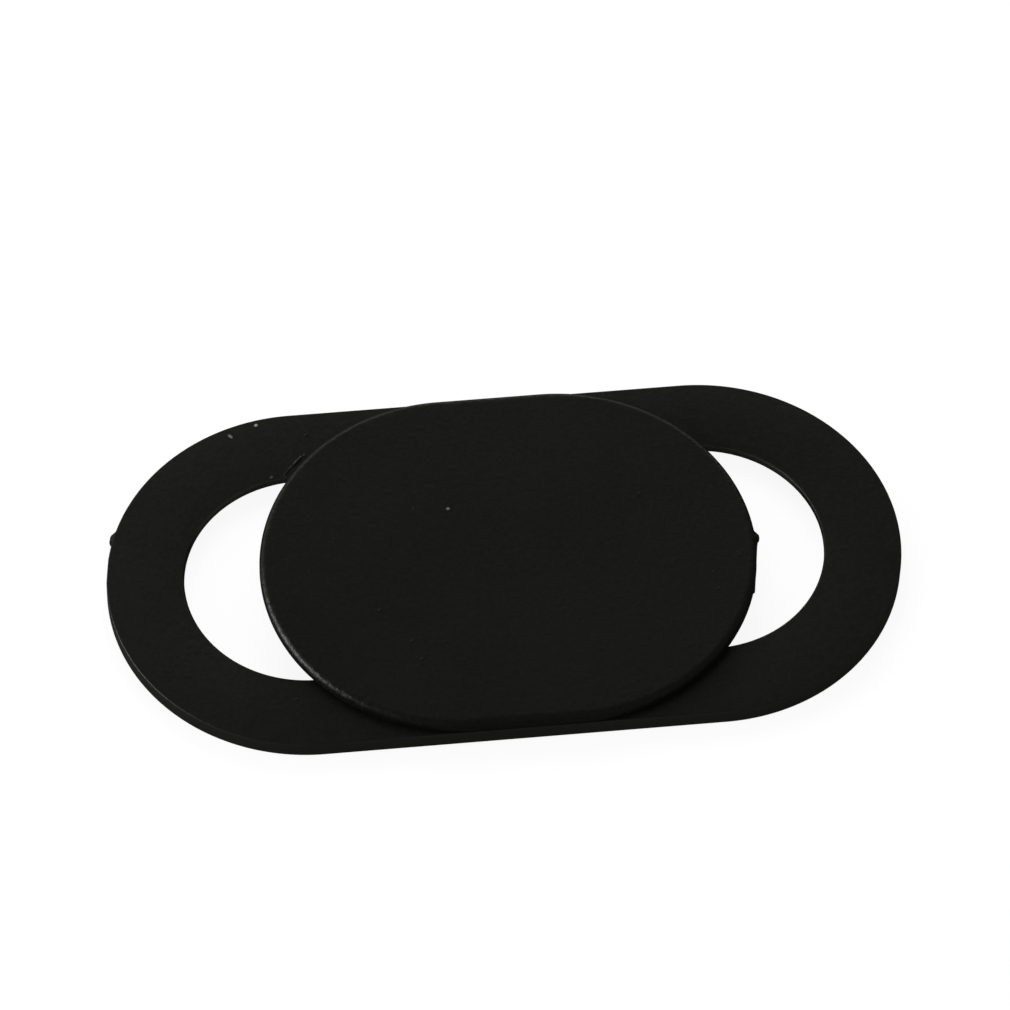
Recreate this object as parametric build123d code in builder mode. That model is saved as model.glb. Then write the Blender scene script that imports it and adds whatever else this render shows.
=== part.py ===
"""Webcam cover: a stick-on oblong frame and a shutter that slides along it to cover or clear a lens.

Millimetres, +Z away from the screen, +X along the slide. The origin is the centre of the adhesive's
own face, which is the surface that the cover is stuck to.
"""
import os

from build123d import *

# Frame, as seen from the front
frame_length = 18.0
frame_width = 9.0
ring_width = 1.75
frame_face_round = 0.04

# Shutter plate, as seen from the front
plate_length = 11.24
plate_setback = 0.06
plate_thickness = 0.31
plate_face_round = 0.17
plate_under_round = 0.04

# Guide: the slot's lip, the channel behind it and the shutter's boss and hooks
lip_thickness = 0.20
channel_reach = 0.42
hook_thickness = 0.16
hook_length = 2.20
hook_reach = 0.28
hook_ramp = 0.10
hook_corner = 0.20
hook_setback = 0.03
boss_wall = 0.70

# Running clearances
slide_gap = 0.03
hook_gap = 0.03
flank_clearance = 0.10
stop_clearance = 0.06

# Where the shutter stands: near the middle of its slide, and to one side of its play
rest_slide = 0.07
rest_side = -0.06

# Double-sided tape
tape_thickness = 0.12
tape_edge_margin = 0.15
tape_channel_margin = 0.08

# Marks of the moulding: gate nubs on the rims, the shutter's beside a land, ejector pins behind the shutter
gate_width = 1.34
gate_sink = 0.015
gate_root = 0.20
gate_height = 0.09
nub_width = 0.28
nub_stand = 0.08
nub_corner = 0.06
slider_gate_angle = -9.5
slider_nub_angle = 0.9
frame_nub_angle = 159.5
pin_mark_radius = 0.55
pin_mark_depth = 0.025

# Sizes that follow
slot_length = frame_length - 2 * ring_width
slot_width = frame_width - 2 * ring_width
channel_length = slot_length + 2 * channel_reach
channel_width = slot_width + 2 * channel_reach
channel_depth = hook_gap + hook_thickness + hook_setback
frame_thickness = lip_thickness + channel_depth
plate_width = frame_width - 2 * plate_setback
slide_travel = (frame_length - plate_length) / 2
boss_length = slot_length - 2 * (slide_travel + stop_clearance)
boss_width = slot_width - 2 * flank_clearance
hook_span = slot_width + 2 * hook_reach
pocket_length = boss_length - 2 * boss_wall
pocket_width = boss_width - 2 * boss_wall

# Levels above the screen
frame_back = tape_thickness
frame_face = frame_back + frame_thickness
hook_back = frame_back + hook_setback
plate_back = frame_face + slide_gap


def oblong(length: float, width: float, mode: Mode = Mode.ADD) -> SlotOverall:
    """Sketch an oblong with fully round ends, its length along X."""
    turn = 0 if length >= width else 90
    return SlotOverall(max(length, width), min(length, width), rotation=turn, mode=mode)


def end_centre(length: float, width: float, angle: float) -> Location:
    """Centre of the round end of an oblong that an angle points to: +X near 0, -X near 180."""
    end_side = 1 if abs(angle) < 90 else -1
    return Location((end_side * (length - width) / 2, 0))


def gate_land(length: float, width: float, angle: float) -> None:
    """Sketch the straight land that a trimmed gate leaves across the rim of an oblong's round end."""
    with Locations(end_centre(length, width, angle)):
        with PolarLocations(width / 2 - gate_sink, 1, start_angle=angle):
            Rectangle(gate_root, gate_width, align=(Align.MAX, Align.CENTER))


def gate_nub(length: float, width: float, angle: float) -> None:
    """Sketch the nub that a torn gate leaves on the rim of an oblong's round end."""
    with Locations(end_centre(length, width, angle)):
        with PolarLocations(width / 2, 1, start_angle=angle):
            RectangleRounded(2 * nub_stand, nub_width, nub_corner)


def shutter_plane(height: float) -> Plane:
    """Level plane through the shutter's own centre, where it stands on the frame."""
    return Plane((rest_slide, rest_side, height))


# Frame: an oblong ring, its slot undercut by a channel in the back that leaves a thin lip
with BuildPart() as frame:
    with BuildSketch(Plane.XY.offset(frame_back)):
        oblong(frame_length, frame_width)
        oblong(slot_length, slot_width, mode=Mode.SUBTRACT)
    extrude(amount=frame_thickness)
    fillet(frame.edges().group_by(Axis.Z)[-1], min(frame_face_round, lip_thickness / 2))
    with BuildSketch(Plane.XY.offset(frame_back)):
        oblong(channel_length, channel_width)
    extrude(amount=channel_depth, mode=Mode.SUBTRACT)
    with BuildSketch(Plane.XY.offset(frame_back + (frame_thickness - gate_height) / 2)):
        gate_nub(frame_length, frame_width, frame_nub_angle)
    extrude(amount=gate_height)

# Shutter: a plate with a soft front rim, a cored boss through the slot and two hooks behind the lip
with BuildPart() as slider:
    with BuildSketch(shutter_plane(plate_back)):
        oblong(plate_length, plate_width)
    extrude(amount=plate_thickness)
    fillet(slider.edges().group_by(Axis.Z)[-1], min(plate_face_round, plate_thickness / 2))
    fillet(slider.edges().group_by(Axis.Z)[0], min(plate_under_round, plate_thickness / 4))
    with BuildSketch(shutter_plane(hook_back)):
        oblong(boss_length, boss_width)
    extrude(amount=plate_back - hook_back)
    with BuildSketch(shutter_plane(hook_back)):
        RectangleRounded(hook_length, hook_span, hook_corner)
    extrude(amount=hook_thickness)
    hook_rims = slider.edges().filter_by(Axis.X).filter_by_position(Axis.Z, hook_back, hook_back)
    chamfer(hook_rims.group_by(Axis.Y)[0] + hook_rims.group_by(Axis.Y)[-1], min(hook_ramp, hook_thickness / 2))
    with BuildSketch(shutter_plane(hook_back)):
        oblong(pocket_length, pocket_width)
    extrude(amount=plate_back - hook_back, mode=Mode.SUBTRACT)
    with BuildSketch(shutter_plane(plate_back)):
        with GridLocations(pocket_length / 2, 0, 2, 1):
            Circle(pin_mark_radius)
    extrude(amount=pin_mark_depth, mode=Mode.SUBTRACT)
    with BuildSketch(shutter_plane(plate_back + plate_under_round)):
        gate_land(plate_length, plate_width, slider_gate_angle)
        gate_nub(plate_length, plate_width, slider_nub_angle)
    extrude(amount=gate_height)

# Adhesive ring: tape cut to the frame's back, clear of its rim and of the channel
with BuildPart() as adhesive_ring:
    with BuildSketch():
        oblong(frame_length - 2 * tape_edge_margin, frame_width - 2 * tape_edge_margin)
        oblong(
            channel_length + 2 * tape_channel_margin,
            channel_width + 2 * tape_channel_margin,
            mode=Mode.SUBTRACT,
        )
    extrude(amount=tape_thickness)

os.makedirs("parts", exist_ok=True)
frame.part.label = "frame"
slider.part.label = "slider"
adhesive_ring.part.label = "adhesive_ring"
export_step(frame.part, "parts/frame.step")
export_step(slider.part, "parts/slider.step")
export_step(adhesive_ring.part, "parts/adhesive_ring.step")
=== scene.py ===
"""Portrait of a black stick-on webcam cover: its mouldings, tape and dust under soft light on white.

Sizes are in metres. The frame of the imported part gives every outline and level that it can; what it
can't give, such as the ring's width, is a named value here or a field of the piece it belongs to.
"""

import logging
import math
import random
from dataclasses import dataclass
from enum import Enum
from typing import Any, Callable, Iterable, Union

import bmesh
import bpy
from mathutils import Matrix, Vector


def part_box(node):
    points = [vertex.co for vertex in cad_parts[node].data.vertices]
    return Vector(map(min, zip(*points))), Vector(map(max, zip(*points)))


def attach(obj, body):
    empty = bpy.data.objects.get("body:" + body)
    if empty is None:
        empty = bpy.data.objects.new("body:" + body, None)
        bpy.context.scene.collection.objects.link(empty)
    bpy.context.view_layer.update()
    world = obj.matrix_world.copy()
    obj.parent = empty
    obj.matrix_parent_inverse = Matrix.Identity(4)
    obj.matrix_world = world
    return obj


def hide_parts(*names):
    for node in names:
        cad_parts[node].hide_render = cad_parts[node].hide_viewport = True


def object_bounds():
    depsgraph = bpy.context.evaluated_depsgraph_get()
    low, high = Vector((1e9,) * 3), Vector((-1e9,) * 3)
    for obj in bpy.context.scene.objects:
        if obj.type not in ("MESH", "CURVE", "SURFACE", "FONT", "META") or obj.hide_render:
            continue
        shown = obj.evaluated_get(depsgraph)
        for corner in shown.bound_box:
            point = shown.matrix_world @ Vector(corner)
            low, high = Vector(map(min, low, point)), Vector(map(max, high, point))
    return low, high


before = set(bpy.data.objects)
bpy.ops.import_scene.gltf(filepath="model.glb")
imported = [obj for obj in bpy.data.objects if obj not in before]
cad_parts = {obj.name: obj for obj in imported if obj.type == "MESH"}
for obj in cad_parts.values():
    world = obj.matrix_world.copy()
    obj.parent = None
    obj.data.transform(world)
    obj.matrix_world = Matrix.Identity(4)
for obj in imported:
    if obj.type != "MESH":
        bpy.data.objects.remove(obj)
CAD_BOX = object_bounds()

MM = 0.001
TINY = 0.0004 * MM
LOOSE = 5 * TINY
SAME_PLACE = 0.1 * TINY
ROUND_STEPS = 960
EDGE_STEPS = 3
ROUND_PROFILE = 0.5
SHADE_ANGLE = math.radians(32.0)
NOISE_MIDDLE = 0.5
MIX_FIRST = 6
MIX_SECOND = 7
MIX_RESULT = 2
RING_WIDTH = 1.75 * MM
PLATE_LENGTH = 11.24 * MM
LOG = logging.getLogger("webcam_cover")

Piece = bpy.types.Object
Material = bpy.types.Material
Socket = bpy.types.NodeSocket
Colour = tuple[float, float, float]
Number = Union[float, "Val"]
Paint = Union[Colour, Socket]
Span = tuple[float, float]
WHITE: Colour = (1.0, 1.0, 1.0)
BLACK: Colour = (0.0, 0.0, 0.0)
ALONG = Vector((1.0, 0.0, 0.0))
UP = Vector((0.0, 0.0, 1.0))


class Pick(Enum):
    """What an edit picks: the names are the edit mode's own."""

    POINTS = "VERT"
    EDGES = "EDGE"
    FACES = "FACE"


class Body(Enum):
    """The two bodies that pieces ride on."""

    FRAME = "frame"
    SLIDER = "slider"


class Slot(Enum):
    """Material slots of the part's record."""

    FRAME = "frame_plastic"
    SLIDER = "slider_plastic"
    ADHESIVE = "adhesive"


class DustKind(Enum):
    """How a speck of dust shows: a bright flake, a pale grain, a faint smudge of lint or a dim trace."""

    BRIGHT = "bright"
    PALE = "pale"
    FAINT = "faint"
    DIM = "dim"


class Val:
    """A shader value that takes part in arithmetic by adding Math nodes."""

    def __init__(self, graph: "Graph", socket: Socket) -> None:
        """Wrap one output socket of a graph."""
        self.graph = graph
        self.socket = socket

    def math(self, operation: str, *others: Number) -> "Val":
        """Add one Math node that starts from this value and return its result."""
        return self.graph.math(operation, self, *others)

    def __add__(self, other: Number) -> "Val":
        """This value plus another."""
        return self.math("ADD", other)

    __radd__ = __add__

    def __mul__(self, other: Number) -> "Val":
        """This value times another."""
        return self.math("MULTIPLY", other)

    __rmul__ = __mul__

    def __sub__(self, other: Number) -> "Val":
        """This value less another."""
        return self.math("SUBTRACT", other)

    def __rsub__(self, other: Number) -> "Val":
        """Another value less this one."""
        return self.graph.math("SUBTRACT", other, self)

    def __abs__(self) -> "Val":
        """This value without its sign."""
        return self.math("ABSOLUTE")

    def ramp(self, low: float, high: float) -> "Val":
        """Step smoothly from 0 to 1.

        Args:
            low: where the result is 0.
            high: where the result is 1, which may be the smaller of the two.

        Returns:
            The step's result.
        """
        inputs = {"Value": self, "From Min": low, "From Max": high}
        node = self.graph.node("ShaderNodeMapRange", {"interpolation_type": "SMOOTHSTEP"}, inputs)
        return Val(self.graph, node.outputs["Result"])


class Graph:
    """A node tree written in code."""

    def __init__(self, tree: bpy.types.NodeTree) -> None:
        """Take a tree and empty it."""
        self.tree = tree
        self.tree.nodes.clear()

    def feed(self, node: bpy.types.Node, inputs: dict[Any, Any]) -> None:
        """Give a node's sockets their values or links.

        Args:
            node: the node to feed.
            inputs: values or links by socket name or number.
        """
        for key, value in inputs.items():
            source = value.socket if isinstance(value, Val) else value
            if isinstance(source, Socket):
                self.tree.links.new(source, node.inputs[key])
            else:
                node.inputs[key].default_value = source

    def node(self, kind: str, settings: dict[str, Any], inputs: dict[Any, Any]) -> bpy.types.Node:
        """Add a node, set it up and feed its sockets.

        Args:
            kind: the node's type.
            settings: its own properties, set before its sockets are fed.
            inputs: values or links by socket name or number.

        Returns:
            The new node.
        """
        node = self.tree.nodes.new(kind)
        for key, value in settings.items():
            setattr(node, key, value)
        self.feed(node, inputs)
        return node

    def math(self, operation: str, *values: Number) -> Val:
        """Add a Math node on those values and return its result."""
        node = self.node("ShaderNodeMath", {"operation": operation}, dict(enumerate(values)))
        return Val(self, node.outputs[0])

    def blend(self, first: Paint, second: Paint, share: Number) -> Socket:
        """Mix two colours.

        Args:
            first: a colour or a colour socket.
            second: the one that takes over as the share grows.
            share: from 0, the first alone, to 1, the second alone.

        Returns:
            The mixed colour.
        """
        inputs: dict[Any, Any] = {"Factor": share}
        for socket, paint in ((MIX_FIRST, first), (MIX_SECOND, second)):
            inputs[socket] = paint if isinstance(paint, Socket) else (*paint, 1.0)
        return self.node("ShaderNodeMix", {"data_type": "RGBA"}, inputs).outputs[MIX_RESULT]

    def ray(self, kind: str) -> Val:
        """1 for that kind of ray and 0 for any other, by the Light Path node's own names."""
        return Val(self, self.node("ShaderNodeLightPath", {}, {}).outputs[kind])


class Finish(Graph):
    """The graph of one piece's material, started with a Principled shader."""

    def __init__(self, name: str) -> None:
        """Start a material.

        Args:
            name: the material's name.
        """
        self.material = bpy.data.materials.new(name)
        self.material.use_nodes = True
        super().__init__(self.material.node_tree)
        self.shader = self.node("ShaderNodeBsdfPrincipled", {}, {})
        self.node("ShaderNodeOutputMaterial", {}, {"Surface": self.shader.outputs[0]})
        self.place = self.node("ShaderNodeTexCoord", {}, {}).outputs["Object"]

    def axes(self) -> tuple[Val, Val, Val]:
        """The place on the piece as three values."""
        node = self.node("ShaderNodeSeparateXYZ", {}, {0: self.place})
        return Val(self, node.outputs[0]), Val(self, node.outputs[1]), Val(self, node.outputs[2])

    def noise(self, size: float, detail: float = 2.0, rough: float = 0.5) -> Val:
        """Cloudy noise.

        Args:
            size: about how large its patches are.
            detail: how many finer layers it has.
            rough: how strong each finer layer is.

        Returns:
            The noise, about 0.5 in its middle.
        """
        inputs = {"Vector": self.place, "Scale": 1.0 / size, "Detail": detail, "Roughness": rough}
        return Val(self, self.node("ShaderNodeTexNoise", {}, inputs).outputs["Fac"])

    def cells(self, size: float) -> tuple[Val, Val]:
        """Scattered cells of about that size.

        Args:
            size: the spacing of the cells.

        Returns:
            The distance from the nearest cell's middle, in cell sizes, and a random value per cell.
        """
        node = self.node("ShaderNodeTexVoronoi", {}, {"Vector": self.place, "Scale": 1.0 / size})
        chance = self.node("ShaderNodeSeparateColor", {}, {0: node.outputs["Color"]})
        return Val(self, node.outputs["Distance"]), Val(self, chance.outputs[0])

    def relief(self, height: Val, depth: float) -> Socket:
        """Surface normal of a relief whose full height is that depth."""
        node = self.node("ShaderNodeBump", {}, {"Strength": 1.0, "Distance": depth, "Height": height})
        return node.outputs["Normal"]

    def done(self, inputs: dict[str, Any]) -> Material:
        """Feed the Principled shader and return the material."""
        self.feed(self.shader, inputs)
        return self.material


@dataclass(frozen=True)
class Arc:
    """A stretch of a level circle."""

    x: float
    y: float
    radius: float
    start: float
    end: float

    def point(self, angle: float) -> Vector:
        """The place on the circle at an angle in degrees, on the floor's level."""
        turn = math.radians(angle)
        return Vector((self.x + self.radius * math.cos(turn), self.y + self.radius * math.sin(turn), 0.0))


@dataclass(frozen=True)
class Oblong:
    """A level outline with fully round ends, its length along X."""

    length: float
    width: float
    x: float = 0.0
    y: float = 0.0

    @property
    def reach(self) -> float:
        """How far each round end's centre lies from the middle."""
        return (self.length - self.width) / 2

    def inset(self, amount: float) -> "Oblong":
        """The outline drawn in on all sides by that amount."""
        return Oblong(self.length - 2 * amount, self.width - 2 * amount, self.x, self.y)

    def depth(self, point: Vector) -> float:
        """How far inside the outline a point lies, less than 0 outside it."""
        along = max(abs(point.x - self.x) - self.reach, 0.0)
        return self.width / 2 - math.hypot(along, point.y - self.y)

    def touches(self, point: Vector) -> bool:
        """Whether a point lies on the outline."""
        return abs(self.depth(point)) < TINY

    def rim(self, angle: float) -> tuple[Vector, Vector]:
        """A place on a round end.

        Args:
            angle: degrees about that end's centre, 0 along +X and 180 along -X.

        Returns:
            The point on the outline and the outward direction there, both level.
        """
        outward = Vector((math.cos(math.radians(angle)), math.sin(math.radians(angle)), 0.0))
        centre = Vector((self.x + math.copysign(self.reach, outward.x), self.y, 0.0))
        return centre + outward * self.width / 2, outward


@dataclass(frozen=True)
class EdgeBand:
    """A band along an oblong outline, from none of it at one depth inside the outline to all at another.

    Where it covers one side only, it comes up from none_y to full_y, levels of Y from the outline's middle.
    Left as they are, these lie far off, and the band goes all round.
    """

    outline: Oblong
    none_at: float
    full_at: float
    none_y: float = -2.0
    full_y: float = -1.0

    def mask(self, graph: Finish) -> Val:
        """How far a place lies in the band.

        Args:
            graph: the material's graph.

        Returns:
            0 outside the band to 1 inside it.
        """
        along, across, _ = graph.axes()
        along = (abs(along - self.outline.x) - self.outline.reach).math("MAXIMUM", 0.0)
        across = across - self.outline.y
        depth = self.outline.width / 2 - (along * along + across * across).math("SQRT")
        return depth.ramp(self.none_at, self.full_at) * across.ramp(self.none_y, self.full_y)


@dataclass(frozen=True)
class FibreShadowBand:
    """A painted shadow: a dark band along an arc that stands in for the shade beside a raised fibre."""

    path: Arc
    half_width: float
    strength: float = 0.8
    core: float = 0.4
    fade_outside: float = 0.5
    fade_inside: float = 1.0
    patch_size: float = 0.30 * MM
    patch_range: Span = (0.35, 0.60)

    def mask(self, graph: Finish) -> Val:
        """How strongly the mark shows at each place.

        Args:
            graph: the material's graph.

        Returns:
            0 where there is no mark to 1 where it is full.
        """
        along, across, _ = graph.axes()
        along, across = along - self.path.x, across - self.path.y
        radius = (along * along + across * across).math("SQRT")
        band = abs(radius - self.path.radius).ramp(self.half_width, self.core * self.half_width)
        turn = across.math("ARCTAN2", along) * math.degrees(1.0)
        first = turn.ramp(self.path.start - self.fade_outside, self.path.start + self.fade_inside)
        last = turn.ramp(self.path.end + self.fade_outside, self.path.end - self.fade_inside)
        patches = graph.noise(self.patch_size, detail=1.0).ramp(*self.patch_range)
        return band * (first * last) * patches * self.strength


@dataclass(frozen=True)
class MouldedPlastic:
    """Black plastic from a spark-eroded mould: a fine matt grain with faint flow clouds and specks, plus any
    paler bands of painted light and dark bands of painted shadow that are given.
    """

    name: str
    dark: Colour
    light: Colour
    speck: Colour
    rough_low: float
    rough_high: float
    flow_size: float = 3.5 * MM
    flow_detail: float = 3.0
    flow_rough: float = 0.55
    grain_size: float = 0.10 * MM
    grain_detail: float = 2.0
    grain_rough: float = 0.6
    grain_depth: float = 0.013 * MM
    grain_tone: float = 0.6
    tone_range: Span = (0.38, 0.62)
    pit_spacing: float = 0.18 * MM
    pit_share: float = 0.3
    speck_spacing: float = 0.62 * MM
    speck_radius: float = 0.045
    speck_core: float = 0.4
    speck_share: float = 0.30
    # Painted light: bands whose paler colour stands in for light falling on walls that the lamps leave dark.
    painted_light_walls: tuple[tuple[EdgeBand, Colour], ...] = ()
    coarse_edges: tuple[EdgeBand, ...] = ()
    coarseness: float = 0.8
    # Painted shadow bands, and how much rougher the face is under them.
    fibre_shadows: tuple[FibreShadowBand, ...] = ()
    fibre_shadow_rough: float = 0.5

    def material(self) -> Material:
        """Build the finish.

        Returns:
            The material.
        """
        graph = Finish(self.name)
        flow = graph.noise(self.flow_size, self.flow_detail, self.flow_rough)
        grain = graph.noise(self.grain_size, self.grain_detail, self.grain_rough)
        pits, _ = graph.cells(self.pit_spacing)
        tone = ((1.0 - self.grain_tone) * flow + self.grain_tone * grain).ramp(*self.tone_range)
        body = graph.blend(self.dark, self.light, tone)
        body = graph.blend(body, self.speck, self._specks(graph))
        # Painted light: each band's wall is blended towards a paler colour, as if lit.
        for edge, pale in self.painted_light_walls:
            body = graph.blend(body, pale, edge.mask(graph))
        bumps = grain - NOISE_MIDDLE
        height = (1.0 - self.pit_share) * bumps + self.pit_share * (pits - NOISE_MIDDLE)
        for edge in self.coarse_edges:
            height = height * (1.0 + self.coarseness * edge.mask(graph))
        rough = self.rough_low + (self.rough_high - self.rough_low) * 0.5 * (flow + grain)
        # Painted shadow: each band blends the colour towards black and also makes the face rougher.
        for shadow_band in self.fibre_shadows:
            mark = shadow_band.mask(graph)
            body = graph.blend(body, BLACK, mark)
            rough = rough + self.fibre_shadow_rough * mark
        return graph.done(
            {
                "Base Color": body,
                "Roughness": rough,
                "Normal": graph.relief(height, self.grain_depth),
            }
        )

    def _specks(self, graph: Finish) -> Val:
        """Where the sparse pale specks in the plastic are.

        Args:
            graph: the material's graph.

        Returns:
            0 between the specks to 1 on them.
        """
        near, chance = graph.cells(self.speck_spacing)
        shown = chance.ramp(1.0 - self.speck_share, 1.0 - self.speck_share / 2)
        return near.ramp(self.speck_radius, self.speck_core * self.speck_radius) * shown


@dataclass(frozen=True)
class TackyTape:
    """Dark double-sided tape: a satin acrylic face with faint bubbles and a soft pebble."""

    name: str
    dark: Colour
    light: Colour
    pebble_size: float = 0.16 * MM
    pebble_rough: float = 0.55
    pebble_tone: float = 0.7
    bubble_spacing: float = 0.35 * MM
    bubble_edge: Span = (0.22, 0.10)
    bubble_chance: Span = (0.55, 0.75)
    bubble_tone: float = 0.4
    tone_range: Span = (0.25, 0.80)
    rough_low: float = 0.28
    rough_spread: float = 0.25
    bubble_gloss: float = 0.08
    bubble_relief: float = 0.5
    relief_depth: float = 0.004 * MM

    def material(self) -> Material:
        """Build the finish.

        Returns:
            The material.
        """
        graph = Finish(self.name)
        pebble = graph.noise(self.pebble_size, rough=self.pebble_rough)
        near, chance = graph.cells(self.bubble_spacing)
        bubble = near.ramp(*self.bubble_edge) * chance.ramp(*self.bubble_chance)
        tone = (self.pebble_tone * pebble + self.bubble_tone * bubble).ramp(*self.tone_range)
        return graph.done(
            {
                "Base Color": graph.blend(self.dark, self.light, tone),
                "Roughness": self.rough_low + self.rough_spread * pebble - self.bubble_gloss * bubble,
                "Normal": graph.relief(pebble + self.bubble_relief * bubble, self.relief_depth),
            }
        )


@dataclass(frozen=True)
class DustFilm:
    """Matt pale dust, uneven from grain to grain, which may fade to its dark colour along X."""

    name: str
    dark: Colour
    light: Colour
    clump_size: float = 0.02 * MM
    clump_rough: float = 0.6
    clump_range: Span = (0.3, 0.7)
    clump_relief: float = 0.1
    rough_low: float = 0.75
    rough_spread: float = 0.2
    fade_from: float = 0.0
    fade_to: float = 0.0

    def material(self) -> Material:
        """Build the finish.

        Returns:
            The material.
        """
        graph = Finish(self.name)
        clump = graph.noise(self.clump_size, rough=self.clump_rough)
        share = clump.ramp(*self.clump_range)
        if self.fade_from != self.fade_to:
            along, _, _ = graph.axes()
            share = share * along.ramp(self.fade_to, self.fade_from)
        return graph.done(
            {
                "Base Color": graph.blend(self.dark, self.light, share),
                "Roughness": self.rough_low + self.rough_spread * clump,
                "Normal": graph.relief(clump, self.clump_relief * self.clump_size),
            }
        )


class Bench:
    """One mesh being worked on in edit mode, its parts picked by place."""

    def __init__(self, piece: Piece) -> None:
        """Take a piece to work on."""
        self.piece = piece

    def __enter__(self) -> "Bench":
        """Open the piece, alone, in edit mode.

        Returns:
            This bench.
        """
        lay_out(self.piece)
        bpy.ops.object.mode_set(mode="EDIT")
        return self

    def __exit__(self, *failure: Any) -> None:
        """Leave edit mode."""
        bpy.ops.object.mode_set(mode="OBJECT")

    def pick(self, what: Pick, test: Callable[[Vector], bool]) -> None:
        """Pick each point, edge or face whose every corner passes a test.

        Args:
            what: the kind of element.
            test: takes a corner's place.
        """
        bpy.ops.mesh.select_mode(type=what.value)
        bpy.ops.mesh.select_all(action="DESELECT")
        mesh = bmesh.from_edit_mesh(self.piece.data)
        lists = {Pick.POINTS: mesh.verts, Pick.EDGES: mesh.edges, Pick.FACES: mesh.faces}
        passed = {point.index for point in mesh.verts if test(point.co)}
        for item in lists[what]:
            corners = [item] if what is Pick.POINTS else item.verts
            item.select_set(all(corner.index in passed for corner in corners))
        mesh.select_flush_mode()
        bmesh.update_edit_mesh(self.piece.data, loop_triangles=False, destructive=False)

    def pull(self, *step: float) -> None:
        """Extrude what is picked along one step."""
        bpy.ops.mesh.extrude_region_move(TRANSFORM_OT_translate={"value": step})

    def inset(self, amount: float) -> None:
        """Inset the picked face, leaving the inner one picked."""
        bpy.ops.mesh.inset(thickness=amount, use_even_offset=True)

    def open_face(self) -> None:
        """Take out the picked face and keep its rim."""
        bpy.ops.mesh.delete(type="ONLY_FACE")

    def bridge_holes(self) -> None:
        """Join the two open rims that are left by a wall."""
        bpy.ops.mesh.select_mode(type="EDGE")
        bpy.ops.mesh.select_all(action="DESELECT")
        bpy.ops.mesh.select_non_manifold()
        bpy.ops.mesh.bridge_edge_loops()

    def round_over(self, test: Callable[[Vector], bool], radius: float, steps: int) -> None:
        """Round the edges whose ends pass a test."""
        self.pick(Pick.EDGES, test)
        bpy.ops.mesh.bevel(
            offset=radius, segments=steps, profile=ROUND_PROFILE, affect="EDGES", clamp_overlap=True
        )

    def round_rim(self, outline: Oblong, level: float, radius: float, steps: int) -> None:
        """Round the edge that runs along an outline.

        Args:
            outline: the edge's outline.
            level: the edge's height.
            radius: how large the round is.
            steps: how many faces make it.
        """

        def on_rim(point: Vector) -> bool:
            """Whether a point lies on the edge."""
            return abs(point.z - level) < TINY and outline.touches(point)

        self.round_over(on_rim, radius, steps)

    def pull_all(self, height: float) -> None:
        """Draw the whole flat blank up to a slab of that height."""
        bpy.ops.mesh.select_all(action="SELECT")
        self.pull(0.0, 0.0, height)

    def pick_level(self, level: float) -> None:
        """Pick the faces that lie flat at one height."""
        self.pick(Pick.FACES, lambda point: abs(point.z - level) < TINY)

    def cut(self, place: Vector, normal: Vector) -> None:
        """Cut the picked faces along a plane."""
        bpy.ops.mesh.bisect(plane_co=place, plane_no=normal, threshold=TINY)

    def spin(self, x: float, y: float, turn: float, steps: int) -> None:
        """Carry what is picked round an upright axis by that many degrees, leaving a skin behind it."""
        bpy.ops.mesh.spin(steps=steps, angle=-math.radians(turn), center=(x, y, 0.0), axis=UP)

    def outward_faces(self) -> None:
        """Merge doubles and turn every face outwards."""
        bpy.ops.mesh.select_all(action="SELECT")
        bpy.ops.mesh.remove_doubles(threshold=SAME_PLACE)
        bpy.ops.mesh.normals_make_consistent(inside=False)


def lay_out(piece: Piece) -> None:
    """Make a piece the only one selected, and active.

    Args:
        piece: the piece.
    """
    bpy.ops.object.select_all(action="DESELECT")
    piece.select_set(True)
    bpy.context.view_layer.objects.active = piece


def take_new(name: str) -> Piece:
    """Name the primitive that was just added and settle its place into its mesh.

    Args:
        name: the piece's name.

    Returns:
        The piece, alone in the selection.
    """
    piece = bpy.context.active_object
    piece.name = name
    piece.data.name = name
    lay_out(piece)
    bpy.ops.object.transform_apply(location=True, rotation=True, scale=True)
    return piece


def add_blank(name: str, outline: Oblong, height: float) -> Piece:
    """Add a flat blank: a disc whose halves are drawn apart to an oblong.

    Args:
        name: the piece's name.
        outline: the blank's outline.
        height: its level.

    Returns:
        The blank.
    """
    bpy.ops.mesh.primitive_circle_add(
        vertices=ROUND_STEPS,
        radius=outline.width / 2,
        fill_type="NGON",
        location=(outline.x, outline.y, height),
        rotation=(0.0, 0.0, math.pi / ROUND_STEPS),
    )
    piece = take_new(name)
    with Bench(piece) as bench:
        for side in (1.0, -1.0):
            bench.pick(Pick.POINTS, lambda point: side * (point.x - outline.x) > 0.0)
            bpy.ops.transform.translate(value=(side * outline.reach, 0.0, 0.0))
    return piece


def dress(piece: Piece, finish: Material, body: Body, nodes: Iterable[str] = ()) -> None:
    """Give a piece its finish and its place on the part.

    Args:
        piece: the finished piece.
        finish: its material.
        body: the body it rides on.
        nodes: the solids that it stands for.
    """
    piece.data.materials.clear()
    piece.data.materials.append(finish)
    lay_out(piece)
    bpy.ops.object.shade_smooth_by_angle(angle=SHADE_ANGLE)
    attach(piece, body.value)
    for node in nodes:
        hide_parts(node)
    LOG.info("%s: %d faces, rides on %s", piece.name, len(piece.data.polygons), body.value)


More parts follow.
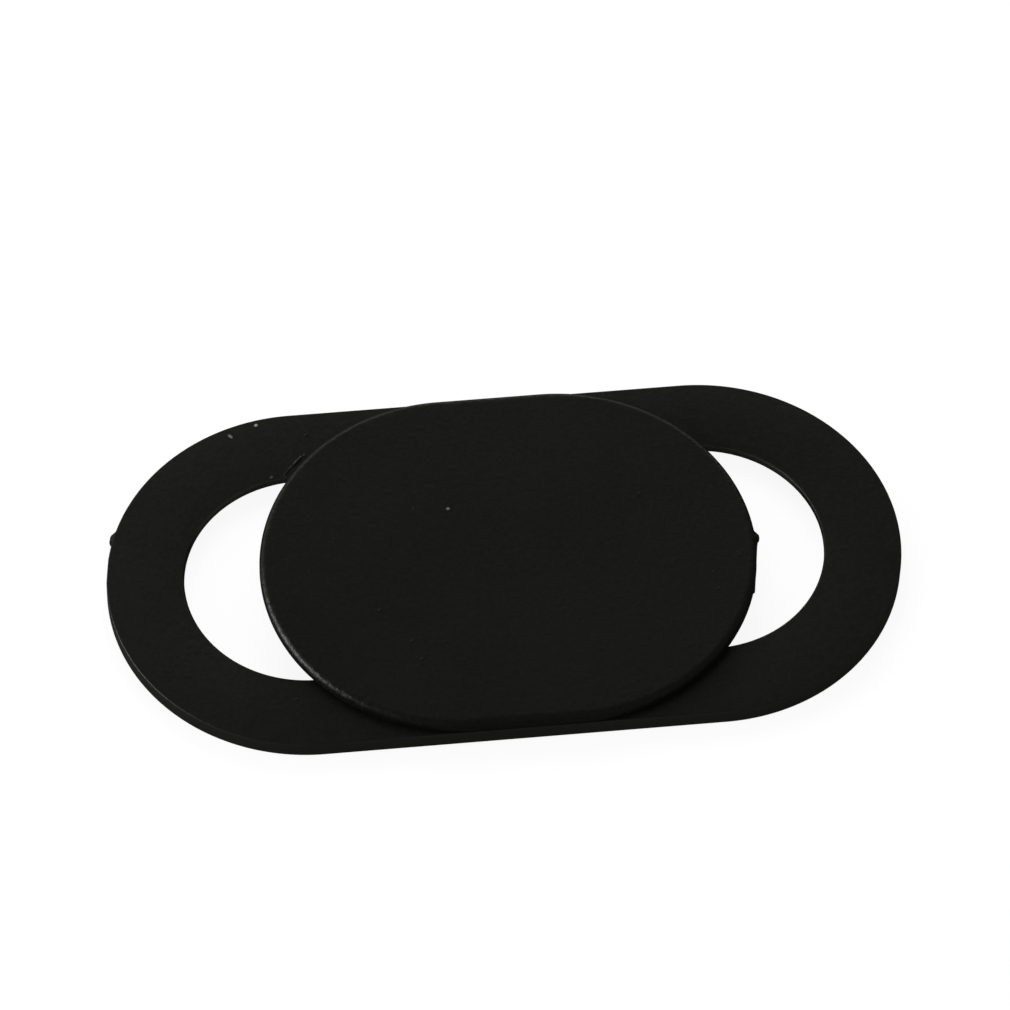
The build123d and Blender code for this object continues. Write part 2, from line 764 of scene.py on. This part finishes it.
@dataclass(frozen=True)
class GateMark:
    """What is left of a trimmed moulding gate: a straight land across the rim and a torn nub beside it."""

    land_angle: float
    land_width: float
    land_sink: float
    nub_angle: float
    nub_stand: float
    nub_core: float = 0.05 * MM
    nub_spread: float = 0.15 * MM
    margin: float = 0.6 * MM
    skin: float = 0.1 * MM
    rows: int = 7

    def shape(self, bench: Bench, outline: Oblong, low: float, high: float) -> None:
        """Press the land and draw the nub out of a moulding's upright rim.

        Args:
            bench: the moulding's bench.
            outline: the rim's outline.
            low: where the upright rim starts.
            high: where it ends.
        """
        nub, outward = outline.rim(self.nub_angle)
        nub.z = (low + high) / 2
        reach = self.land_width + self.margin

        def on_wall(point: Vector) -> bool:
            """Whether a point lies on the upright rim around the nub."""
            upright = low - TINY < point.z < high + TINY
            return upright and outline.touches(point) and (point - nub).length < reach

        for row in range(1, self.rows):
            level = low + (high - low) * row / self.rows
            bench.pick(Pick.FACES, on_wall)
            bench.cut(Vector((0.0, 0.0, level)), UP)
        self._press_land(bench, outline, low, on_wall)
        bench.pick(Pick.POINTS, lambda point: (point - nub).length < self.nub_core)
        bpy.ops.transform.translate(
            value=outward * self.nub_stand,
            use_proportional_edit=True,
            proportional_edit_falloff="SMOOTH",
            proportional_size=self.nub_spread,
        )

    def _press_land(
        self, bench: Bench, outline: Oblong, low: float, on_wall: Callable[[Vector], bool]
    ) -> None:
        """Press the rim flat along the land.

        Args:
            bench: the moulding's bench.
            outline: the rim's outline.
            low: where the upright rim starts.
            on_wall: whether a point lies on that rim.
        """
        middle, outward = outline.rim(self.land_angle)
        across = Vector((-outward.y, outward.x, 0.0))
        middle = middle - outward * self.land_sink

        def on_land(point: Vector) -> bool:
            """Whether a point lies on the land's part of the rim."""
            proud = (point - middle).dot(outward) > 0.0 and point.z > low and outline.depth(point) < self.skin
            return abs((point - middle).dot(across)) < self.land_width / 2 and (proud or on_wall(point))

        bench.pick(Pick.POINTS, on_land)
        bpy.ops.transform.resize(
            value=(0.0, 1.0, 1.0),
            orient_matrix=Matrix((outward, across, UP)).transposed(),
            orient_matrix_type="GLOBAL",
            constraint_axis=(True, False, False),
            center_override=middle,
        )


@dataclass
class FrameMoulding:
    """The oblong ring that is stuck on: slot, rounded face and a channel behind the slot's lip."""

    finish: Material
    ring_width: float = RING_WIDTH
    lip_thickness: float = 0.20 * MM
    channel_reach: float = 0.42 * MM
    face_round: float = 0.04 * MM
    face_steps: int = 5
    slot_round: float = 0.05 * MM
    slot_steps: int = 4
    lip_round: float = 0.03 * MM
    back_round: float = 0.03 * MM
    gate: GateMark = GateMark(
        land_angle=172.0,
        land_width=0.62 * MM,
        land_sink=0.010 * MM,
        nub_angle=159.9,
        nub_stand=0.100 * MM,
        nub_core=0.08 * MM,
        nub_spread=0.17 * MM,
    )

    def build(self) -> None:
        """Model the ring from a flat blank."""
        low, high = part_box("frame")
        outline = frame_outline()
        slot = outline.inset(self.ring_width)
        back, face = low.z, high.z
        lip = face - self.lip_thickness
        piece = add_blank("frame_moulding", outline, back)
        with Bench(piece) as bench:
            bench.pull_all(face - back)
            bench.pick_level(face)
            bench.inset(self.ring_width)
            bench.open_face()
            bench.pick_level(back)
            bench.inset(self.ring_width - self.channel_reach)
            bench.pull(0.0, 0.0, lip - back)
            bench.inset(self.channel_reach)
            bench.open_face()
            bench.bridge_holes()
            bench.outward_faces()
            bench.round_rim(outline, face, self.face_round, self.face_steps)
            bench.round_rim(slot, face, self.slot_round, self.slot_steps)
            bench.round_rim(slot, lip, self.lip_round, EDGE_STEPS)
            bench.round_rim(outline, back, self.back_round, EDGE_STEPS)
            self.gate.shape(bench, outline, back + self.back_round, face - self.face_round)
            bench.outward_faces()
        dress(piece, self.finish, Body.FRAME, ["frame"])


@dataclass
class ShutterMoulding:
    """The sliding shutter: a plate with a soft rim, a cored boss through the slot and two snap hooks."""

    finish: Material
    plate_thickness: float = 0.31 * MM
    face_round: float = 0.17 * MM
    face_steps: int = 12
    face_border: float = 0.05 * MM
    under_round: float = 0.04 * MM
    boss_length: float = 7.62 * MM
    boss_width: float = 5.30 * MM
    boss_wall: float = 0.70 * MM
    flank_slack: float = 0.05 * MM
    hook_length: float = 2.20 * MM
    hook_stand: float = 0.38 * MM
    hook_thickness: float = 0.16 * MM
    hook_ramp: float = 0.10 * MM
    ramp_steps: int = 2
    hook_corner: float = 0.20 * MM
    corner_steps: int = 8
    pin_radius: float = 0.55 * MM
    pin_depth: float = 0.025 * MM
    pin_steps: int = 96
    gate: GateMark = GateMark(
        land_angle=-9.5, land_width=1.34 * MM, land_sink=0.015 * MM, nub_angle=0.9, nub_stand=0.095 * MM
    )

    def build(self) -> None:
        """Model the shutter from a flat blank."""
        low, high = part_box("slider")
        plate = plate_outline()
        boss = Oblong(self.boss_length, self.boss_width, plate.x, plate.y)
        back, face = low.z, high.z
        under = face - self.plate_thickness
        piece = add_blank("shutter_moulding", plate, under)
        with Bench(piece) as bench:
            bench.pull_all(face - under)
            bench.outward_faces()
            self._boss(bench, plate, boss, under, back)
            self._hooks(bench, boss, back)
            bench.round_rim(plate, face, self.face_round, self.face_steps)
            bench.pick_level(face)
            bench.inset(self.face_border)
            bench.round_rim(plate, under, self.under_round, EDGE_STEPS)
            self.gate.shape(bench, plate, under + self.under_round, face - self.face_round)
            bench.outward_faces()
        self._pin_marks(piece, boss, under)
        dress(piece, self.finish, Body.SLIDER, ["slider"])

    def _pin_marks(self, piece: Piece, boss: Oblong, under: float) -> None:
        """Sink the two shallow discs that the ejector pins leave on the pocket's floor.

        Args:
            piece: the shutter.
            boss: the boss's outline.
            under: the level of the pocket's floor.
        """
        spacing = (self.boss_length - 2 * self.boss_wall) / 4
        for side in (1.0, -1.0):
            bpy.ops.mesh.primitive_cylinder_add(
                vertices=self.pin_steps,
                radius=self.pin_radius,
                depth=2 * self.pin_depth,
                location=(boss.x + side * spacing, boss.y, under),
            )
            pin = take_new("ejector_pin")
            lay_out(piece)
            sink = piece.modifiers.new("pin_mark", "BOOLEAN")
            sink.operation = "DIFFERENCE"
            sink.solver = "EXACT"
            sink.object = pin
            bpy.ops.object.modifier_apply(modifier=sink.name)
            bpy.data.objects.remove(pin, do_unlink=True)

    def _boss(self, bench: Bench, plate: Oblong, boss: Oblong, under: float, back: float) -> None:
        """Draw the cored boss out of the plate's underside.

        Args:
            bench: the shutter's bench.
            plate: the plate's outline.
            boss: the boss's outline.
            under: the level of the plate's underside.
            back: the level of the boss's end.
        """
        bench.pick_level(under)
        bench.inset((plate.width - boss.width) / 2)
        grown = plate.length - (plate.width - boss.width)
        bpy.ops.transform.resize(
            value=(boss.length / grown, 1.0, 1.0), center_override=(boss.x, boss.y, under)
        )
        bench.pull(0.0, 0.0, back - under)
        bench.inset(self.boss_wall)
        bench.pull(0.0, 0.0, under - back)

    def _hooks(self, bench: Bench, boss: Oblong, back: float) -> None:
        """Draw the two hooks out of the boss's flanks and give them their lead-in ramps.

        Args:
            bench: the shutter's bench.
            boss: the boss's outline.
            back: the level of the hooks' backs.
        """
        top = back + self.hook_thickness
        ends = [boss.x + end * self.hook_length / 2 for end in (1.0, -1.0)]
        for side in (1.0, -1.0):
            flank = boss.y + side * boss.width / 2
            tip = flank + side * self.hook_stand

            def on_flank(point: Vector) -> bool:
                """Whether a point lies on the straight part of this flank."""
                straight = abs(point.x - boss.x) < boss.reach + self.flank_slack
                return abs(point.y - flank) < LOOSE and straight

            def on_hook(point: Vector) -> bool:
                """Whether a point lies on the flank where its hook grows."""
                inside = abs(point.x - boss.x) < self.hook_length / 2 + TINY
                return on_flank(point) and inside and point.z < top + TINY

            def on_tip(point: Vector) -> bool:
                """Whether a point lies on the hook's tip."""
                return abs(point.y - tip) < TINY

            bench.pick(Pick.FACES, on_flank)
            bench.cut(Vector((0.0, 0.0, top)), UP)
            for end in ends:
                bench.pick(Pick.FACES, on_flank)
                bench.cut(Vector((end, 0.0, 0.0)), ALONG)
            bench.pick(Pick.FACES, on_hook)
            bench.pull(0.0, side * self.hook_stand, 0.0)
            for end in ends:
                bench.round_over(
                    lambda point: on_tip(point) and abs(point.x - end) < TINY,
                    self.hook_corner,
                    self.corner_steps,
                )
            bench.pick(Pick.EDGES, lambda point: on_tip(point) and point.z < back + TINY)
            bpy.ops.mesh.bevel(
                offset=self.hook_ramp, segments=self.ramp_steps, profile=ROUND_PROFILE, affect="EDGES"
            )


@dataclass
class AdhesiveRing:
    """Die-cut double-sided tape on the frame's back."""

    finish: Material
    ring_width: float = 1.10 * MM
    edge_round: float = 0.02 * MM

    def build(self) -> None:
        """Model the ring from a flat blank."""
        low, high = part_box("adhesive_ring")
        outline = Oblong(high.x - low.x, high.y - low.y)
        inner = outline.inset(self.ring_width)
        piece = add_blank("adhesive_tape", outline, low.z)
        with Bench(piece) as bench:
            bench.pull_all(high.z - low.z)
            for level in (low.z, high.z):
                bench.pick_level(level)
                bench.inset(self.ring_width)
                bench.open_face()
            bench.bridge_holes()
            bench.outward_faces()
            for rim in (outline, inner):
                bench.round_rim(rim, low.z, self.edge_round, EDGE_STEPS)
            bench.outward_faces()
        dress(piece, self.finish, Body.FRAME, ["adhesive_ring"])


@dataclass(frozen=True)
class Speck:
    """One speck of dust: where it lies, how long and slim it is and how it is turned, in degrees."""

    x: float
    y: float
    length: float
    kind: DustKind
    slimness: float = 0.7
    turn: float = 30.0


@dataclass
class Dust:
    """Specks of dust that lie on one level face."""

    name: str
    finishes: dict[DustKind, Material]
    specks: list[Speck]
    level: float
    body: Body
    slot: Slot
    seed: int
    flatness: float = 0.35
    tallest: float = 0.022 * MM
    rest_share: float = 0.45
    crumple: float = 0.07
    fineness: int = 3
    seeds: int = 1000

    def build(self) -> None:
        """Model the specks, joined into one piece for each kind."""
        draw = random.Random(self.seed)
        for kind, finish in self.finishes.items():
            flakes = [self._flake(speck, draw) for speck in self.specks if speck.kind is kind]
            if not flakes:
                continue
            lay_out(flakes[0])
            for flake in flakes:
                flake.select_set(True)
            if len(flakes) > 1:
                bpy.ops.object.join()
            piece = take_new(f"{self.name}_{kind.value}")
            dress(piece, finish, self.body)

    def _flake(self, speck: Speck, draw: random.Random) -> Piece:
        """Model one crumpled flake, lying on the face.

        Args:
            speck: its place and form.
            draw: the random numbers that crumple it.

        Returns:
            The flake.
        """
        tall = min(self.flatness * speck.length, self.tallest)
        bpy.ops.mesh.primitive_ico_sphere_add(
            subdivisions=self.fineness,
            radius=speck.length / 2,
            location=(speck.x, speck.y, self.level + self.rest_share * tall),
            rotation=(0.0, 0.0, math.radians(speck.turn)),
            scale=(1.0, speck.slimness, tall / speck.length),
        )
        flake = take_new("flake")
        with Bench(flake):
            bpy.ops.mesh.select_all(action="SELECT")
            bpy.ops.transform.vertex_random(
                offset=self.crumple * speck.slimness * speck.length,
                seed=draw.randrange(self.seeds),
            )
        return flake


@dataclass
class Fibre:
    """A fine fibre that lies on the frame's face beside the shutter, curled back at its lower end."""

    finish: Material
    path: Arc
    level: float
    thickness: float = 0.046 * MM
    flatness: float = 0.5
    curl_radius: float = 0.075 * MM
    curl_turn: float = 120.0
    sides: int = 12
    path_steps: int = 40
    curl_steps: int = 20

    def build(self) -> None:
        """Spin a small ring along the arc, then along the curl."""
        first = self.path.point(self.path.start)
        bpy.ops.mesh.primitive_circle_add(
            vertices=self.sides,
            radius=self.thickness / 2,
            fill_type="NGON",
            location=first,
            rotation=(math.pi / 2, 0.0, math.radians(self.path.start)),
        )
        piece = take_new("fibre")
        curl = self.path.point(self.path.end) + self._inward(self.path.end) * self.curl_radius
        with Bench(piece) as bench:
            bpy.ops.mesh.select_all(action="SELECT")
            bench.spin(self.path.x, self.path.y, self.path.end - self.path.start, self.path_steps)
            bench.spin(curl.x, curl.y, self.curl_turn, self.curl_steps)
            bench.outward_faces()
            bpy.ops.transform.resize(
                value=(1.0, 1.0, self.flatness), center_override=(first.x, first.y, 0.0)
            )
            middle = self.level + self.flatness * self.thickness / 2
            bpy.ops.transform.translate(value=(0.0, 0.0, middle))
        dress(piece, self.finish, Body.FRAME)

    def _inward(self, angle: float) -> Vector:
        """Unit vector from the arc towards its centre."""
        return (Vector((self.path.x, self.path.y, 0.0)) - self.path.point(angle)).normalized()


@dataclass(frozen=True)
class Softbox:
    """A rectangular area lamp that looks at the part."""

    name: str
    azimuth: float
    elevation: float
    distance: float
    wide: float
    tall: float
    power: float
    mirrored: bool = True

    def build(self, target: Vector) -> None:
        """Hang the lamp.

        Args:
            target: what it looks at.
        """
        lamp = bpy.data.lights.new(self.name, "AREA")
        lamp.shape = "RECTANGLE"
        lamp.size = self.wide
        lamp.size_y = self.tall
        lamp.energy = self.power
        lamp_object = bpy.data.objects.new(self.name, lamp)
        back = direction(self.azimuth, self.elevation)
        lamp_object.location = target + back * self.distance
        lamp_object.rotation_euler = back.to_track_quat("Z", "Y").to_euler()
        lamp_object.visible_glossy = self.mirrored
        bpy.context.scene.collection.objects.link(lamp_object)


def direction(azimuth: float, elevation: float) -> Vector:
    """Unit vector from the part towards a viewer.

    Args:
        azimuth: degrees, 0 in front (towards -Y) and 90 on the right.
        elevation: degrees above the floor.

    Returns:
        The direction.
    """
    turn, rise = math.radians(azimuth), math.radians(elevation)
    return Vector((math.sin(turn) * math.cos(rise), -math.cos(turn) * math.cos(rise), math.sin(rise)))


LAMPS = (
    Softbox("key_left", azimuth=-92.0, elevation=14.0, distance=0.40, wide=0.27, tall=0.14, power=0.78),
    Softbox("back_band", azimuth=188.0, elevation=12.0, distance=0.45, wide=0.80, tall=0.15, power=0.30),
    Softbox("back_high", azimuth=185.0, elevation=55.0, distance=0.30, wide=0.40, tall=0.30, power=0.017),
    Softbox(
        "near_fill", azimuth=184.0, elevation=45.0, distance=0.036, wide=0.035, tall=0.035, power=0.007,
        mirrored=False,
    ),
    Softbox(
        "front_left", azimuth=-40.0, elevation=22.0, distance=0.06, wide=0.03, tall=0.03, power=0.008,
        mirrored=False,
    ),
    Softbox(
        "front_right", azimuth=42.0, elevation=22.0, distance=0.06, wide=0.03, tall=0.03, power=0.008,
        mirrored=False,
    ),
)


@dataclass
class Studio:
    """White sweep, soft lamps and the photograph's camera."""

    lamps: tuple[Softbox, ...] = LAMPS
    azimuth: float = -7.44
    elevation: float = 55.35
    roll: float = 1.66
    distance: float = 160.0 * MM
    lens: float = 251.15
    clip_start: float = 1.0 * MM
    aim: tuple[float, float, float] = (0.168 * MM, 1.569 * MM, 0.5 * MM)
    floor_size: float = 4.0
    floor_drop: float = 0.02 * MM
    floor_glow: float = 0.91
    floor_seen: float = 0.18
    floor_mirrored: float = 0.10
    floor_bounce: float = 0.50
    sky: float = 0.075
    sky_tint: Colour = (0.99, 1.02, 0.89)

    def build(self) -> None:
        """Set up the whole stage."""
        scene = bpy.context.scene
        scene.view_settings.view_transform = "Standard"
        scene.camera = self._camera()
        self._world()
        self._floor()
        centre = (CAD_BOX[0] + CAD_BOX[1]) / 2
        for lamp in self.lamps:
            lamp.build(centre)

    def _camera(self) -> Piece:
        """Place the camera, turned by its roll.

        Returns:
            The camera.
        """
        camera = bpy.data.cameras.new("camera")
        camera.lens = self.lens
        camera.clip_start = self.clip_start
        back = direction(self.azimuth, self.elevation)
        level = UP.cross(back).normalized()
        upright = back.cross(level)
        turn = math.radians(self.roll)
        right = level * math.cos(turn) + upright * math.sin(turn)
        place = Matrix((right, back.cross(right), back)).transposed().to_4x4()
        place.translation = Vector(self.aim) + back * self.distance
        camera_object = bpy.data.objects.new("camera", camera)
        camera_object.matrix_world = place
        bpy.context.scene.collection.objects.link(camera_object)
        return camera_object

    def _world(self) -> None:
        """Dim even sky that the camera sees as white."""
        world = bpy.data.worlds.new("sky")
        world.use_nodes = True
        bpy.context.scene.world = world
        graph = Graph(world.node_tree)
        seen = graph.ray("Is Camera Ray")
        tint = graph.blend(self.sky_tint, WHITE, seen)
        strength = self.sky + (1.0 - self.sky) * seen
        glow = graph.node("ShaderNodeBackground", {}, {"Color": tint, "Strength": strength})
        graph.node("ShaderNodeOutputWorld", {}, {"Surface": glow.outputs[0]})

    def _floor(self) -> None:
        """White floor that keeps a faint shadow of the part."""
        bpy.ops.mesh.primitive_plane_add(size=self.floor_size, location=(0.0, 0.0, -self.floor_drop))
        floor = take_new("floor")
        material = bpy.data.materials.new("white_sweep")
        material.use_nodes = True
        graph = Graph(material.node_tree)
        seen = graph.ray("Is Camera Ray")
        tone = (
            self.floor_mirrored
            + (self.floor_seen - self.floor_mirrored) * seen
            + (self.floor_bounce - self.floor_mirrored) * graph.ray("Is Diffuse Ray")
        )
        paper = graph.node("ShaderNodeBsdfDiffuse", {}, {"Color": tone})
        glow = graph.node("ShaderNodeEmission", {}, {"Strength": self.floor_glow * seen})
        both = graph.node("ShaderNodeAddShader", {}, {0: paper.outputs[0], 1: glow.outputs[0]})
        graph.node("ShaderNodeOutputMaterial", {}, {"Surface": both.outputs[0]})
        floor.data.materials.append(material)


def plate_outline() -> Oblong:
    """The shutter plate's outline where it stands, without the nub on its right end."""
    low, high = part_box("slider")
    return Oblong(PLATE_LENGTH, high.y - low.y, low.x + PLATE_LENGTH / 2, (low.y + high.y) / 2)


def frame_outline() -> Oblong:
    """The frame's outer outline, without the nub on its left end."""
    low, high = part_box("frame")
    return Oblong(2 * high.x, high.y - low.y)


SCUFF = Arc(x=-1.11 * MM, y=-0.06 * MM, radius=4.656 * MM, start=133.6, end=141.0)
# Painted shadow just inside the fibre's arc, standing in for the fibre's shade.
FIBRE_SHADOW = Arc(x=SCUFF.x, y=SCUFF.y, radius=4.607 * MM, start=133.4, end=138.6)
# Painted light: the frame's front wall is painted paler so that it reads as lit from the front.
FRONT_WALL_PAINTED_LIGHT = EdgeBand(
    frame_outline(), none_at=0.03 * MM, full_at=0.01 * MM, none_y=0.8 * MM, full_y=-0.2 * MM
)
# Painted light: the slot's far wall is painted paler so that it reads as lit.
FAR_SLOT_WALL_PAINTED_LIGHT = EdgeBand(
    frame_outline(),
    none_at=RING_WIDTH - 0.05 * MM,
    full_at=RING_WIDTH - 0.01 * MM,
    none_y=1.0 * MM,
    full_y=1.8 * MM,
)
PLATE_RIM = EdgeBand(plate_outline(), none_at=0.26 * MM, full_at=0.14 * MM)
FRAME_PLASTIC = MouldedPlastic(
    "frame_plastic",
    dark=(0.0037, 0.0039, 0.0029),
    light=(0.0061, 0.0064, 0.0050),
    speck=(0.030, 0.030, 0.028),
    rough_low=0.36,
    rough_high=0.50,
    fibre_shadows=(FibreShadowBand(FIBRE_SHADOW, half_width=0.036 * MM),),
    # Painted light on the front wall and on the slot's far wall: paler colours than the plastic's own.
    painted_light_walls=((FRONT_WALL_PAINTED_LIGHT, (0.0130, 0.0133, 0.0112)), (FAR_SLOT_WALL_PAINTED_LIGHT, (0.032, 0.033, 0.030))),
)
SHUTTER_PLASTIC = MouldedPlastic(
    "shutter_plastic",
    dark=(0.0031, 0.0033, 0.0024),
    light=(0.0050, 0.0053, 0.0040),
    speck=(0.030, 0.030, 0.028),
    rough_low=0.34,
    rough_high=0.46,
    coarse_edges=(PLATE_RIM,),
)
TAPE = TackyTape("tacky_tape", dark=(0.030, 0.030, 0.029), light=(0.055, 0.054, 0.052))
DUST = {
    DustKind.BRIGHT: DustFilm("dust_bright", dark=(0.22, 0.22, 0.21), light=(0.42, 0.42, 0.40)),
    DustKind.PALE: DustFilm("dust_pale", dark=(0.09, 0.09, 0.086), light=(0.22, 0.22, 0.21)),
    DustKind.FAINT: DustFilm("dust_faint", dark=(0.03, 0.03, 0.03), light=(0.07, 0.07, 0.068)),
    DustKind.DIM: DustFilm("dust_dim", dark=(0.011, 0.011, 0.0105), light=(0.021, 0.021, 0.020)),
}
FIBRE = DustFilm(
    "fibre",
    dark=(0.012, 0.012, 0.011),
    light=(0.090, 0.090, 0.084),
    clump_size=0.10 * MM,
    fade_from=-4.50 * MM,
    fade_to=-4.66 * MM,
)
SHUTTER_DUST = [
    Speck(-1.162 * MM, 1.321 * MM, 0.085 * MM, DustKind.PALE, slimness=0.9),
    Speck(-2.957 * MM, -1.270 * MM, 0.080 * MM, DustKind.DIM),
    Speck(-2.325 * MM, -2.167 * MM, 0.075 * MM, DustKind.DIM),
    Speck(-2.151 * MM, -2.667 * MM, 0.085 * MM, DustKind.DIM),
    Speck(3.195 * MM, 1.350 * MM, 0.080 * MM, DustKind.DIM),
    Speck(4.602 * MM, -0.956 * MM, 0.075 * MM, DustKind.DIM),
    Speck(4.683 * MM, -1.400 * MM, 0.075 * MM, DustKind.DIM),
    Speck(5.278 * MM, -0.540 * MM, 0.075 * MM, DustKind.DIM),
]
FRAME_DUST = [
    Speck(-5.880 * MM, 4.020 * MM, 0.140 * MM, DustKind.PALE, slimness=0.55, turn=-46.0),
    Speck(-5.269 * MM, 4.275 * MM, 0.085 * MM, DustKind.BRIGHT, slimness=0.9),
    Speck(-5.041 * MM, 2.795 * MM, 0.085 * MM, DustKind.FAINT, slimness=0.9),
    Speck(-4.248 * MM, 3.347 * MM, 0.060 * MM, DustKind.FAINT),
    Speck(-4.157 * MM, 3.904 * MM, 0.085 * MM, DustKind.DIM),
    Speck(-5.002 * MM, -3.241 * MM, 0.080 * MM, DustKind.DIM),
    Speck(5.709 * MM, -3.246 * MM, 0.085 * MM, DustKind.DIM),
    Speck(4.401 * MM, -3.792 * MM, 0.080 * MM, DustKind.DIM),
]


def main() -> None:
    """Build the pieces in order, then the stage."""
    logging.basicConfig(level=logging.INFO, format="%(name)s %(message)s")
    Studio().build()
    FrameMoulding(FRAME_PLASTIC.material()).build()
    ShutterMoulding(SHUTTER_PLASTIC.material()).build()
    AdhesiveRing(TAPE.material()).build()
    dust = {kind: film.material() for kind, film in DUST.items()}
    frame_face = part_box("frame")[1].z
    shutter_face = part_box("slider")[1].z
    Fibre(FIBRE.material(), SCUFF, frame_face).build()
    Dust("frame_dust", dust, FRAME_DUST, frame_face, Body.FRAME, Slot.FRAME, seed=5).build()
    Dust("shutter_dust", dust, SHUTTER_DUST, shutter_face, Body.SLIDER, Slot.SLIDER, seed=8).build()


if __name__ == "__main__":
    main()
